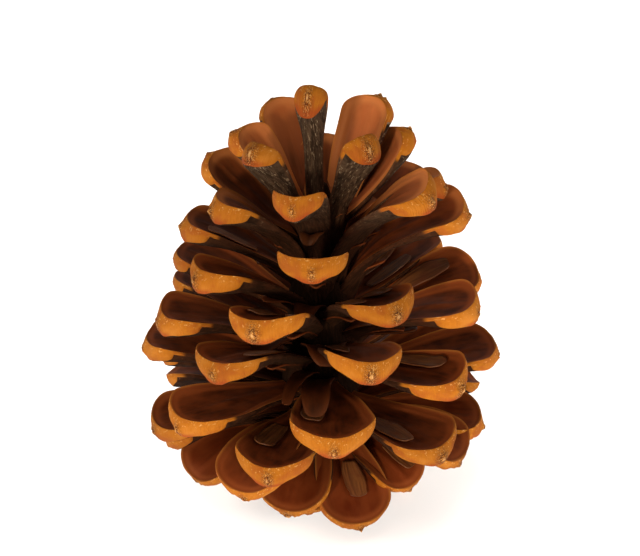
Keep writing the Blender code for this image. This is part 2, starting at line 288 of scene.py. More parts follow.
# Painted shade: the larger bracts in the front gaps are darkened to the shade there.
FRONT_BRACT_PAINTED_SHADE_TONE = -0.7
FRONT_BRACTS = (
    (-10, 67, 16.5, 71, -55, 5.5),
    (-10, 48, 23, 54.5, -40, 7),
    (4, 38, 26, 44.5, -65, 11),
    (-2, 30, 34, 35.5, -60, 8.5),
    (-15, 32, 31, 36.5, -40, 4.5),
    (28, 40, 26, 39, -30, 7),
    (-40, 44, 27, 42, -25, 7),
    (88, 40, 24, 42.5, 5, 9),
)

# The woody core.
AXIS_LEVELS = 70
AXIS_COLUMNS = 96
AXIS_LUMPS = 4
AXIS_LUMP_HEIGHT = 3
AXIS_LUMP_DEPTH = 0.35
AXIS_LUMP_RISE = (0, 4)
AXIS_GRAIN = 9
# Painted shade: the core is darkened to the deep shade between the scales.
AXIS_PAINTED_SHADE_TONE = -1.4

# Colours, as screen values of 0 to 255.
COLOURS = {
    "dark face": (48, 19, 9),
    "light face": (90, 37, 15),
    "face patches": (106, 46, 20),
    "crown face": (212, 120, 62),
    "low face": (116, 40, 9),
    "inner rim": (140, 68, 31),
    "crown rim": (196, 118, 62),
    "lip": (176, 104, 46),
    "dark underside": (34, 17, 9),
    "light underside": (62, 34, 19),
    "underside flecks": (96, 60, 36),
    "underside patches": (58, 27, 14),
    "dark grey": (38, 28, 20),
    "light grey": (80, 62, 46),
    "grey flecks": (150, 126, 98),
    "dark end": (165, 95, 22),
    "light end": (175, 104, 25),
    "dark clouds": (152, 76, 24),
    "pale clouds": (182, 114, 40),
    "low lump": (150, 62, 24),
    "cracks": (96, 46, 18),
    "ring": (84, 36, 14),
    "pits": (70, 32, 14),
    "specks": (224, 168, 94),
    "point": (212, 158, 96),
    "rim flecks": (216, 156, 84),
    "dark paper": (92, 48, 22),
    "light paper": (146, 88, 44),
    "paper clouds": (116, 56, 26),
}

# Noise patterns: how far the two coordinates are stretched, scale, detail and roughness.
PATTERNS = {
    "streaks": (1.3, 0.14, 1.0, 5.0, 0.55),
    "patches": (0.25, 0.16, 1.0, 2.0, 0.55),
    "fibres": (2.6, 0.3, 1.0, 5.0, 0.65),
    "flecks": (5.5, 0.6, 1.0, 4.0, 0.6),
    "rays": (13.0, 1.4, 1.0, 5.0, 0.6),
    "clouds": (1.6, 1.0, 1.0, 2.0, 0.55),
    "wander": (1.0, 6.0, 2.2, 4.0, 0.7),
    "pits": (1.0, 6.0, 3.4, 2.0, 0.55),
    "specks": (1.0, 6.0, 4.2, 2.0, 0.55),
    "rim flecks": (1.7, 7.0, 1.0, 3.0, 0.6),
    "paper lines": (9.0, 3.0, 1.0, 5.0, 0.6),
    "paper clouds": (1.0, 6.0, 1.6, 2.0, 0.55),
}
SKIN_STRETCH = 6.0
SKIN_SCALE = 1.7
WOOD_SEED_STRIDE = 57.0
PAPER_SEED_STRIDE = 3.7

# Where a look sets in and where it is full: values of its pattern, mm, shares of the way down an
# end, or metres of height. Two more numbers are what it is at those places, where not 0 and 1.
STEPS = {
    "face streaks": (0.3, 0.7),
    "face patches": (0.45, 0.75),
    "crown face": (0.074, 0.096, 0.0, 0.65),
    "low face": (0.03, 0.012, 0.0, 0.6),
    "inside the rim": (1.4, 3.2),
    "patchy inside": (0.2, 0.6, 1.0, 0.6),
    "crown rim": (3.6, 1.4),
    "crown rim height": (0.066, 0.084),
    "lip": (0.7, 0.05),
    "underside fibres": (0.35, 0.65),
    "underside flecks": (0.62, 0.78),
    "underside patches": (0.5, 0.8),
    "grey fibres": (0.35, 0.62),
    "grey flecks": (0.58, 0.66),
    "grey stalks": (0.07, 0.09, 0.0, 0.85),
    "rays": (0.25, 0.8),
    "dark clouds": (0.48, 0.66, 0.0, 0.7),
    "pale clouds": (0.46, 0.3, 0.0, 0.6),
    "low lump": (0.7, 0.95),
    "low lump side": (5.0, 2.5),
    "cracks": (0.03, -0.03),
    "near the boss": (4.2, 1.8),
    "ring start": (0.7, 0.95),
    "ring end": (1.5, 1.1),
    "broken ring": (0.38, 0.5),
    "pits": (0.74, 0.8),
    "specks": (0.55, 0.62),
    "specks near the boss": (3.2, 0.9),
    "point": (0.75, 0.3),
    "rim flecks": (0.58, 0.66),
    "rim flecks drop": (0.5, 0.25),
    "upper": (0.2, 0.8),
    "ended": (0.25, 0.8),
    "underside relief": (0.8, 0.2),
    "roughness": (0.2, 0.8, 0.88, 0.5),
    "paper lines": (0.32, 0.68),
    "paper clouds": (0.45, 0.75, 0.0, 0.8),
    "paper roughness": (0.3, 0.7, 0.36, 0.5),
}

# How strongly a look covers what is under it.
STRENGTHS = {
    "crown rim": 0.75,
    "low lump": 0.8,
    "cracks": 0.75,
    "ring": 0.8,
    "pits": 0.8,
    "specks": 0.8,
    "rim flecks": 0.75,
}
CRACK_WANDER = 0.2
BOSS_WANDER = 1.6
DARKEST_SHADE = 0.84
TONE_SHADE = 0.3

# What each pattern adds to the bump, then the bumps' sizes, roughness and gloss.
RELIEF = {
    "streaks": 0.12,
    "fibres": 0.5,
    "rays": 0.14,
    "wander": 0.1,
    "cracks": 0.5,
    "rim flecks": 0.16,
}
WOOD_BUMP = {"Strength": 0.7, "Distance": 0.0006}
PAPER_BUMP = {"Strength": 0.5, "Distance": 0.0003}
STREAK_ROUGHNESS = 0.08
END_ROUGHNESS = -0.1
BOSS_SMOOTHNESS = 0.2
WOOD_SPECULAR = 0.22
WOOD_SPECULAR_TINT = (1.0, 0.66, 0.4, 1)

# The lamps: azimuth, elevation, distance and diameter in metres, power and tint.
LAMPS = {
    "key": (-20, 6, 0.9, 0.1, 3.9, (1.0, 0.88, 0.72)),
    "fill": (-75, 34, 1.0, 0.5, 2.8, (1.0, 0.93, 0.85)),
    "right_fill": (55, 14, 1.0, 0.5, 3.0, (1.0, 0.9, 0.8)),
    "back_fill": (180, 7, 1.0, 0.6, 3.5, (1.0, 0.92, 0.82)),
    "floor_wash": (0, 85, 1.6, 2.0, 33, (0.99, 0.99, 1.0)),
    "shadow_wash": (-40, 75, 1.6, 1.2, 8, (0.99, 0.99, 1.0)),
}
FLOOR_HALF = 3.0
FLOOR_HEIGHT = -0.0002
FLOOR_COLOUR = (0.86, 0.85, 0.83, 1)
FLOOR_ROUGHNESS = 0.8
WORLD_COLOUR = (1.0, 0.98, 0.95, 1)
WORLD_STRENGTH = 0.2

# The camera stands where the photograph's did.
TARGET = Vector((0, 0, 0.050))
VIEW_ELEVATION = math.radians(25)
VIEW_DISTANCE = 0.42
SENSOR_WIDTH = 36
LENS = 96.4
SHIFT_UP = 0.0314
CLIP_START = 0.01


def profile(name, rank):
    return float(np.interp(rank, PROFILE_RANKS, PROFILE[name]))


def crown_twist(rank):
    return float(np.interp(rank, CROWN_TWIST_RANKS, (0.0, CROWN_TWIST)))


def axis_radius(height):
    heights, radii = zip(*AXIS_PROFILE)
    return float(np.interp(height, heights, radii))


def scale_at(rank, dice):
    """The placing of one scale, as a dictionary of plain numbers."""
    turn, rise, reach, ratio, tilt, pitch = NUDGES.get(rank, (0, 0, 0, 1.0, 0, 0))
    widening, slant = KNOBS.get(rank, (WIDENING_POWER, END_SLANT))
    loose = rank not in NUDGES
    azimuth_jitter = dice.uniform(-AZIMUTH_JITTER, AZIMUTH_JITTER)
    height_jitter = dice.uniform(-HEIGHT_JITTER, HEIGHT_JITTER)
    roll = dice.uniform(-ROLL_JITTER, ROLL_JITTER)
    root_height = profile("root_height", rank)
    scale = {
        "rank": rank,
        "azimuth": FRONT_AZIMUTH + DIVERGENCE * rank + crown_twist(rank) + turn,
        "root": (axis_radius(root_height) * ROOT_DEPTH, root_height),
        "tip": [profile("tip_radius", rank) + reach, profile("tip_height", rank) + rise],
        "tip_slope": math.radians(profile("tip_slope", rank) + pitch),
        "half_width": profile("width", rank) * ratio / 2,
        "end_thickness": profile("end_thickness", rank),
        "roll": math.radians(roll if loose else tilt),
        "widening": widening,
        "slant": slant,
    }
    if loose:
        scale["azimuth"] += azimuth_jitter
        scale["tip"][1] += height_jitter
    run = scale["tip"][0] - scale["root"][0]
    climb = scale["tip"][1] - scale["root"][1]
    chord_slope = math.atan2(climb, run)
    scale["root_slope"] = min(2 * chord_slope - scale["tip_slope"], STEEPEST_ROOT)
    scale["length"] = math.hypot(run, climb) * BEND_LENGTH_RATIO
    longest = LONGEST_END * scale["length"]
    scale["end_length"] = min(END_ROUNDNESS * scale["half_width"], longest)
    return scale


def lattice_value(column, row, seed):
    """A fixed random number from -1 to 1 for each whole-number cell."""
    mixed = (column * 374761393 + row * 668265263 + seed * 974634777) & 0xFFFFFFFF
    mixed = ((mixed ^ (mixed >> 13)) * 1274126177) & 0xFFFFFFFF
    return ((mixed ^ (mixed >> 16)) & 0xFFFF) / 32767.5 - 1


def smooth_noise(x, y, seed):
    """Value noise from -1 to 1 over the plane, with a cell of 1."""
    column, row = np.floor(x).astype(np.int64), np.floor(y).astype(np.int64)
    across, up = x - column, y - row
    across = across * across * (3 - 2 * across)
    up = up * up * (3 - 2 * up)
    low = lattice_value(column, row, seed) * (1 - across)
    low += lattice_value(column + 1, row, seed) * across
    high = lattice_value(column, row + 1, seed) * (1 - across)
    high += lattice_value(column + 1, row + 1, seed) * across
    return low * (1 - up) + high * up


def ramp(value, start, end):
    """0 before start and 1 after end, with a smooth rise between."""
    share = np.clip((value - start) / (end - start), 0, 1)
    return share * share * (3 - 2 * share)


def mound(distance, radius, power=2):
    """1 in the middle, and next to nothing from twice the radius on."""
    return np.exp(-((distance / radius) ** power))


def grain(x, y, cell, seed, shift=0):
    """Noise in patches of the cell's width and length. A shift picks another stretch of it."""
    return smooth_noise(x / cell[0] + shift, y / cell[1], seed)


def midline(scale, along):
    """Radius, height and slope of the scale's middle line, along mm out from the root."""
    u = np.clip(along / scale["length"], 0, 1)[..., None]
    beyond = np.maximum(along - scale["length"], 0)
    start, end = np.array(scale["root"]), np.array(scale["tip"])
    handle = np.linalg.norm(end - start) / 3
    root_slope, tip_slope = scale["root_slope"], scale["tip_slope"]
    first = start + handle * np.array((math.cos(root_slope), math.sin(root_slope)))
    second = end - handle * np.array((math.cos(tip_slope), math.sin(tip_slope)))
    w = 1 - u
    place = w**3 * start + 3 * w * w * u * first + 3 * w * u * u * second + u**3 * end
    heading = w * w * (first - start) + 2 * w * u * (second - first) + u * u * (end - second)
    slope = np.arctan2(heading[..., 1], heading[..., 0])
    radius = place[..., 0] + beyond * np.cos(slope)
    return radius, place[..., 1] + beyond * np.sin(slope), slope


def place_points(scale, along, across, lift):
    """World points in mm, from mm along the scale, to its side and above it."""
    radius, height, slope = midline(scale, along)
    roll = scale["roll"] * along / scale["length"]
    sideways = across * np.cos(roll) - lift * np.sin(roll)
    upwards = lift * np.cos(roll) + across * np.sin(roll)
    radius = radius - upwards * np.sin(slope)
    height = height + upwards * np.cos(slope)
    azimuth = math.radians(scale["azimuth"])
    x = radius * math.sin(azimuth) + sideways * math.cos(azimuth)
    y = -radius * math.cos(azimuth) + sideways * math.sin(azimuth)
    return np.stack((x, y, np.maximum(height, LOWEST_POINT)), axis=-1)


def blade_half_width(scale, along):
    """Half the width of the blade, before the half ellipse that closes it."""
    blade = scale["length"] - scale["end_length"]
    growth = np.sin(math.pi / 2 * np.clip(along / blade, 0, 1)) ** scale["widening"]
    root = min(ROOT_WIDTH / 2, ROOT_WIDTH_RATIO * scale["half_width"])
    root *= STALK_RATIOS.get(scale["rank"], 1.0)
    return root + (scale["half_width"] - root) * growth


def edge_distance(scale, along, across):
    """Mm from the outline, in plan."""
    blade = scale["length"] - scale["end_length"]
    beyond = np.maximum(along - blade, 0) / scale["end_length"]
    width = blade_half_width(scale, along)
    return np.maximum(1 - np.hypot(beyond, across / width), 0) * width


def upper_lift(scale, along, across):
    """Height of the upper face over the middle plane: cupped, lipped, with two wing imprints."""
    u = along / scale["length"]
    v = across / scale["half_width"]
    seed = scale["rank"]
    edge = edge_distance(scale, along, across)
    lift = CUP_RATIO * scale["half_width"] * v * v * u
    lift += RIM_LIP * ramp(edge, RIM_LIP_WIDTH, 0) * ramp(u, *RIM_LIP_RUN)
    inside = ramp(edge, *IMPRINT_EDGE) * ramp(u, *IMPRINT_END)
    ridge = mound(across, IMPRINT_RIDGE_WIDTH)
    lift -= IMPRINT_DEPTH * inside * (1 - IMPRINT_RIDGE * ridge) * ramp(u, *IMPRINT_START)
    lift += WARP * grain(across, along, WARP_CELL, seed, shift=9) * ramp(u, *WARP_RUN)
    lift += WAVER * grain(across, along, WAVER_CELL, seed + WAVER_SEED) * u
    return lift


def blade_thickness(scale, along):
    """Thickness along the middle: it thins from the root and grows again to the blunt end."""
    u = np.clip(along / scale["length"], 0, 1)
    thinning = (BLADE_THICKNESS - ROOT_THICKNESS) * np.minimum(1, u / ROOT_RUN)
    inner = ROOT_THICKNESS + thinning
    growth = np.maximum(0, (u - THICKENING_START) / (1 - THICKENING_START))
    return inner + (scale["end_thickness"] - inner) * growth**2


def umbo_at(scale):
    """Where a scale's umbo is: mm to the side, share of the way down its end, and relative size."""
    rank = scale["rank"]
    side = UMBO_SHIFT * lattice_value(rank, 1, UMBO_SEED)
    drop = BOSS_DROP + UMBO_DROP_SHIFT * lattice_value(rank, 2, UMBO_SEED)
    return side, drop, 1 + UMBO_SIZE_SPREAD * lattice_value(rank, 3, UMBO_SEED)


def scale_grid(scale):
    """Plan places of the scale's upper and lower faces: along and across, a row for each ring."""
    rows = np.sin(np.linspace(0, math.pi / 2, ROWS))[:, None]
    angle = np.linspace(-math.pi / 2, math.pi / 2, COLUMNS)[None, :]
    ripple = 0
    for size, waves, shift, line in RIPPLES:
        ripple = ripple + size * smooth_noise(angle * waves + shift, rows * 0 + line, scale["rank"])
    blade = scale["length"] - scale["end_length"]
    end = scale["end_length"] * (1 + ripple * rows**3)
    along = rows * (blade + end * np.cos(angle))
    return rows, angle, along


def full_thickness(scale, rows, angle, along, across):
    """Thickness over the whole blade, which grows into a lumped crescent at its rim."""
    facing = np.cos(angle)
    depth = LIP_SHARE * scale["end_thickness"] - EDGE_THICKNESS
    crescent = EDGE_THICKNESS + depth * facing**CRESCENT_POWER
    umbo_side, _, umbo_size = umbo_at(scale)
    lump = mound(across - umbo_side, LUMP_HALF_WIDTH * umbo_size, LUMP_POWER)
    lump = lump * ramp(rows, *LUMP_RUN)
    crescent = crescent + (1 - LIP_SHARE) * scale["end_thickness"] * lump
    inner = EDGE_THICKNESS + (blade_thickness(scale, along) - EDGE_THICKNESS) * facing**2
    rim = rows**RIM_POWER
    return inner * (1 - rim) + crescent * rim


def under_relief(scale, rows, along, across):
    """Fibres and a keel along the underside."""
    seed = scale["rank"] + FIBRE_SEED
    fibre = grain(across, along, FIBRE_CELL, seed)
    fibre += FINE_FIBRE_SHARE * grain(across, along, FINE_FIBRE_CELL, seed + 1, shift=3)
    keel = mound(across, KEEL_WIDTH) * ramp(rows, *KEEL_RUN)
    return FIBRE_DEPTH * fibre * ramp(rows, *FIBRE_RUN) + KEEL_DEPTH * keel


def scale_surface(scale):
    """Points of one scale, and for each its zone and its place on the scale's end."""
    rows, angle, along = scale_grid(scale)
    facing = np.cos(angle)
    across = np.sin(angle) * blade_half_width(scale, along)
    lift = upper_lift(scale, along, across)
    thickness = full_thickness(scale, rows, angle, along, across)
    rim = rows**RIM_POWER

    def section(drop):
        """The places at a share of the way from the upper face to the lower one."""
        inset = 1 - END_UNDERCUT * facing * drop * rows
        bulge = END_BULGE * np.sin(math.pi * drop) ** BULGE_POWER * facing
        out = bulge - scale["slant"] * drop**SLANT_POWER * facing
        reach = along + out * rim * scale["end_thickness"] / FULL_THICKNESS
        side = across * inset + SIDE_BULGE * math.sin(math.pi * drop) * np.sin(angle)
        return reach, side, lift - thickness * drop

    under_along, under_across, under_lift = section(1.0)
    under_lift = under_lift - under_relief(scale, rows, under_along, under_across) * facing
    drops = 0.5 - 0.5 * np.cos(np.linspace(0, math.pi, END_ROWS))
    sections = [section(drop) for drop in drops]
    top = (along, across, lift)
    bottom = (under_along, under_across, under_lift)

    body = []
    for part in range(3):
        right = np.stack([piece[part][:, -1] for piece in sections[1:-1]], axis=1)
        left = np.stack([piece[part][:, 0] for piece in sections[-2:0:-1]], axis=1)
        body.append(np.concatenate((top[part], right, bottom[part][:, ::-1], left), axis=1))
    face = [
        np.stack([piece[part][-1, 1:-1] for piece in sections[1:-1]], axis=0)
        for part in range(3)
    ]
    face = end_relief(scale, face, angle[0, 1:-1], drops[1:-1])
    places = [np.concatenate((body[part].ravel(), face[part].ravel())) for part in range(3)]
    zone = scale_zones(rows, edge_distance(scale, along, across))
    return places, zone, scale_end_places(scale, angle, drops, face[1])


def ring_parts():
    """Where a ring's right side, underside and left side start, and its length."""
    side_rows = END_ROWS - 2
    return COLUMNS, COLUMNS + side_rows, 2 * COLUMNS + side_rows, 2 * (COLUMNS + side_rows)


def scale_zones(rows, distance):
    """For each point: how far it is upper face, how far it is end, and mm from the outline."""
    right, under, left, ring = ring_parts()
    sides = np.r_[right:under, left:ring]
    upper = np.zeros((ROWS, ring))
    upper[:, :right] = 1.0
    upper[:, sides] = SIDE_UPPER
    ended = np.zeros((ROWS, ring))
    ended[-1, :] = 1.0
    ended[:, sides] = ramp(rows, *SIDE_ENDED_RUN)
    edge = np.full((ROWS, ring), FAR_AWAY)
    edge[:, :right] = distance
    edge[-1, :] = 0.0
    face = np.zeros((END_ROWS - 2) * (COLUMNS - 2))
    return np.stack([
        np.concatenate((upper.ravel(), face)),
        np.concatenate((ended.ravel(), face + 1)),
        np.concatenate((edge.ravel(), face)),
    ], axis=1)


def scale_end_places(scale, angle, drops, face_across):
    """For each point: its turn round the end, its share of the way down, and mm from the boss."""
    right, under, left, ring = ring_parts()
    turn = np.zeros((ROWS, ring))
    turn[:, :right] = angle
    turn[:, right:under] = math.pi / 2
    turn[:, under:left] = angle[:, ::-1]
    turn[:, left:] = -math.pi / 2
    drop = np.zeros((ROWS, ring))
    drop[:, right:under] = drops[1:-1]
    drop[:, under:left] = 1.0
    drop[:, left:] = drops[-2:0:-1]
    face_turn = np.repeat(angle[:, 1:-1], END_ROWS - 2, axis=0)
    face_drop = np.repeat(drops[1:-1][:, None], COLUMNS - 2, axis=1)
    umbo_side, umbo_drop, umbo_size = umbo_at(scale)
    middle = (face_drop - umbo_drop) * scale["end_thickness"]
    boss = np.hypot((face_across - umbo_side) * UMBO_STRETCH, middle) / umbo_size
    return np.stack([
        np.concatenate((turn.ravel(), face_turn.ravel())),
        np.concatenate((drop.ravel(), face_drop.ravel())),
        np.concatenate((np.full(turn.size, FAR_AWAY), boss.ravel())),
    ], axis=1)


def end_relief(scale, face, angle, drops):
    """Boss, point, ridge, fold and cracked skin on the blunt end."""
    along, across, lift = face
    umbo_side, umbo_drop, umbo_size = umbo_at(scale)
    across = across - umbo_side
    facing = np.cos(angle)[None, :]
    drop = drops[:, None]
    size = umbo_size * scale["end_thickness"] / FULL_THICKNESS
    middle = (drop - umbo_drop) * scale["end_thickness"]
    distance = np.hypot(across, middle)
    out = BOSS_HEIGHT * size * mound(distance, BOSS_RADIUS * size)
    out += POINT_HEIGHT * size * mound(distance, POINT_RADIUS)
    ridge = RIDGE_HEIGHT * size * mound(across, RIDGE_WIDTH)
    out += ridge * ramp(drop, *RIDGE_RISE) * ramp(drop, *RIDGE_FALL)
    out += FOLD_HEIGHT * mound(drop - umbo_drop + FOLD_DROP, FOLD_WIDTH) * facing
    seed = scale["rank"] + ROUGH_SEED
    rough = grain(across, middle, ROUGH_CELL, seed)
    rough += FINE_ROUGH_SHARE * grain(across, middle, FINE_ROUGH_CELL, seed + 1)
    depth = ROUGHNESS + ROUGHNESS_NEAR_BOSS * ramp(distance, *NEAR_BOSS)
    out += depth * rough * ramp(drop, *ROUGH_RUN) * np.sin(math.pi * drop) ** 0.5
    turns = angle[None, :] * GROOVES + 7
    grooves = smooth_noise(turns, drop * GROOVE_WAVER, scale["rank"] + GROOVE_SEED)
    out += GROOVE_DEPTH * grooves * np.sin(math.pi * drop)
    out = out * facing
    sideways = umbo_side + out * np.sin(angle)[None, :] * SIDEWAYS_SHARE
    return [along + out * facing, across + sideways, lift]


def ring_faces(rows, ring):
    """Corner lists of the faces between rings of points."""
    faces = []
    for row in range(rows - 1):
        low, high = row * ring, (row + 1) * ring
        for i in range(ring):
            j = (i + 1) % ring
            faces.append((low + i, low + j, high + j, high + i))
    return faces


def tube_faces(rows, ring):
    """Corner lists of a closed tube through rings of points, with a cap at each end."""
    start = tuple(range(ring - 1, -1, -1))
    end = tuple((rows - 1) * ring + i for i in range(ring))
    return [start, *ring_faces(rows, ring), end]


def scale_faces():
    """Corner lists of one scale: the body's rings, the blunt end, and the root."""
    _, lower, _, ring = ring_parts()
    faces = ring_faces(ROWS, ring)
    last = (ROWS - 1) * ring
    inner = COLUMNS - 2

    def corner(drop, column):
        if drop == 0:
            return last + column
        if drop == END_ROWS - 1:
            return last + lower + COLUMNS - 1 - column
        if column == COLUMNS - 1:
            return last + COLUMNS + drop - 1
        if column == 0:
            return last + ring - drop
        return ROWS * ring + (drop - 1) * inner + column - 1

    for drop in range(END_ROWS - 1):
        for column in range(COLUMNS - 1):
            faces.append((
                corner(drop, column),
                corner(drop, column + 1),
                corner(drop + 1, column + 1),
                corner(drop + 1, column),
            ))
    faces.append(tuple(range(ring - 1, -1, -1)))
    return faces


def new_mesh(name, points, faces, attributes):
    """A smooth mesh object with a vector for each point under each attribute's name."""
    mesh = bpy.data.meshes.new(name)
    mesh.from_pydata((points * MM).tolist(), [], faces)
    for label, values in attributes.items():
        layer = mesh.attributes.new(label, "FLOAT_VECTOR", "POINT")
        layer.data.foreach_set("vector", np.ascontiguousarray(values, np.float32).ravel())
    mesh.shade_smooth()
    obj = bpy.data.objects.new(name, mesh)
    bpy.context.scene.collection.objects.link(obj)
    return obj


def make_scales(name, scales, faces, material):
    """Several scales in one piece that stands for the cone's solid."""
    points, zones, spots, ends, corners = [], [], [], [], []
    shift = 0
    for scale in scales:
        (along, across, lift), zone, end_place = scale_surface(scale)
        cloud = place_points(scale, along, across, lift)
        tone = np.full(along.size, scale["tone"])
        points.append(cloud)
        zones.append(zone)
        spots.append(np.stack((across, along, tone), axis=1))
        ends.append(end_place)
        corners.extend(tuple(index + shift for index in face) for face in faces)
        shift += len(cloud)
    obj = new_mesh(name, np.concatenate(points), corners, {
        "zone": np.concatenate(zones),
        "spot": np.concatenate(spots),
        "end_place": np.concatenate(ends),
    })
    obj.data.materials.append(material)
    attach(obj, "root")
    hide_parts("pine_cone")


def make_wing(number, scale, side, start, end, material):
    """A papery blade that lies on one half of a scale's upper face."""
    turn = np.linspace(0, math.pi / 2, WING_ROWS)[:, None]
    half = np.linspace(-0.5, 0.5, WING_COLUMNS)[None, :]
    u = start + (end - start) * np.sin(turn)
    spread = WING_TIP_WIDTH + (WING_WIDTH - WING_TIP_WIDTH) * np.cos(turn) ** WING_TIP_POWER
    spread = spread * (WING_ROOT_SHARE + (1 - WING_ROOT_SHARE) * np.sin(turn) ** WING_ROOT_POWER)
    ragged = smooth_noise(turn * WING_RAGS, half * 0 + 2.5, number)
    spread = spread * (1 + WING_RAGGED * ragged)
    v = side * WING_MIDDLE + spread * half
    along = u * scale["length"] + 0 * v
    blade = scale["length"] - scale["end_length"]
    beyond = np.clip((along - blade) / scale["end_length"], 0, 1)
    across = v * blade_half_width(scale, along) * np.sqrt(1 - beyond**2)
    lift = upper_lift(scale, along, across) + WING_GAP + WING_LIFT * np.sin(turn) ** 3
    warp = grain(across, along, WING_WARP_CELL, number + WING_SEED)
    lift = lift + WING_WARP * warp * np.sin(turn)
    top = place_points(scale, along, across, lift + WING_THICKNESS)
    bottom = place_points(scale, along, across, lift)
    points = np.concatenate((top, bottom[:, ::-1]), axis=1)
    faces = tube_faces(WING_ROWS, points.shape[1])
    plan = np.stack((half + 0 * turn, u - start + 0 * half, 0 * v + number), axis=-1)
    plan = np.concatenate((plan, plan[:, ::-1]), axis=1)
    obj = new_mesh(f"papery_wing_{number:02d}", points.reshape(-1, 3), faces, {
        "spot": plan.reshape(-1, 3),
    })
    obj.data.materials.append(material)
    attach(obj, "root")
    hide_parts(f"seed_wing_{number:02d}")


def bract_below(scale):
    """The line of a small bract under one scale, in the same terms as a scale's."""
    radius, height, slope = midline(scale, np.array(BRACT_REACH * scale["length"]))
    root_radius, root_height = scale["root"]
    reach = float(radius) + BRACT_REACH_SPREAD * scale["tone"]
    return {
        "azimuth": scale["azimuth"] + BRACT_TURN * (scale["tone"] - 0.5),
        "root": (root_radius, root_height - BRACT_ROOT_DROP),
        "tip": (reach, float(height) - BRACT_TIP_DROP),
        "root_slope": scale["root_slope"],
        "tip_slope": float(slope) - BRACT_DROOP,
        "width": BRACT_WIDTH,
        "tone": scale["tone"],
    }


def bract_surface(bract, number):
    """Points of one closed tongue, curled across and pointed at its tip, and their attributes."""
    run = bract["tip"][0] - bract["root"][0]
    climb = bract["tip"][1] - bract["root"][1]
    bract["length"] = math.hypot(run, climb)
    bract["roll"] = math.radians(BRACT_ROLL * lattice_value(number, 3, BRACT_SEED))
    turn = np.linspace(0, math.pi / 2, BRACT_ROWS)[:, None]
    v = np.linspace(-1, 1, BRACT_COLUMNS)[None, :]
    along = bract["length"] * (BRACT_BASE + (1 - BRACT_BASE) * np.sin(turn)) + 0 * v
    ragged = smooth_noise(v * BRACT_RAGS[0] + 7, turn * BRACT_RAGS[1], number)
    taper = BRACT_TIP_WIDTH + (1 - BRACT_TIP_WIDTH) * np.cos(turn) ** BRACT_TIP_POWER
    half = bract["width"] / 2 * taper * (1 + BRACT_RAGGED * ragged)
    across = half * v
    lift = BRACT_CURL * across**2 / bract["width"]
    lift = lift + BRACT_WARP * grain(across, along, BRACT_WARP_CELL, number)
    top = place_points(bract, along, across, lift)
    bottom = place_points(bract, along, across, lift - BRACT_THICKNESS)
    points = np.concatenate((top, bottom[:, ::-1]), axis=1)

    def both_faces(first, second):
        return np.concatenate((first, second[:, ::-1]), axis=1).ravel()

    edge = (1 - np.abs(v)) * half
    edge = both_faces(edge, edge)
    upper = both_faces(np.ones_like(across), np.full_like(across, BRACT_UNDERSIDE))
    zone = np.stack((upper, 0 * edge, edge + BRACT_EDGE), axis=1)
    # Painted shade darkens every bract.
    tone = np.full(edge.size, bract["tone"] + BRACT_PAINTED_SHADE_TONE)
    spot = np.stack((both_faces(across, across), both_faces(along, along), tone), axis=1)
    return points.reshape(-1, 3), zone, spot


def make_bracts(scales, material):
    """All bracts in one piece that stands for part of the cone's solid."""
    bracts = [bract_below(scales[rank]) for rank in scales if rank >= LOWEST_BRACT_RANK]
    for azimuth, root_height, radius, height, slope, width in FRONT_BRACTS:
        root_radius = axis_radius(root_height) * ROOT_DEPTH
        chord_slope = math.atan2(height - root_height, radius - root_radius)
        bracts.append({
            "azimuth": azimuth,
            "root": (root_radius, root_height),
            "tip": (radius, height),
            "root_slope": chord_slope + BRACT_RISE,
            "tip_slope": math.radians(slope),
            "width": width,
            # Painted shade for the front gaps.
            "tone": FRONT_BRACT_PAINTED_SHADE_TONE,
        })
    template = tube_faces(BRACT_ROWS, 2 * BRACT_COLUMNS)
    points, zones, spots, faces = [], [], [], []
    for number, bract in enumerate(bracts):
        cloud, zone, spot = bract_surface(bract, number)
        shift = number * len(cloud)
        faces.extend(tuple(index + shift for index in face) for face in template)
        points.append(cloud)
        zones.append(zone)
        spots.append(spot)
    total = sum(len(cloud) for cloud in points)
    obj = new_mesh("bracts", np.concatenate(points), faces, {
        "zone": np.concatenate(zones),
        "spot": np.concatenate(spots),
        "end_place": np.tile((0.0, 0.0, FAR_AWAY), (total, 1)),
    })
    obj.data.materials.append(material)
    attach(obj, "root")
    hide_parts("pine_cone")


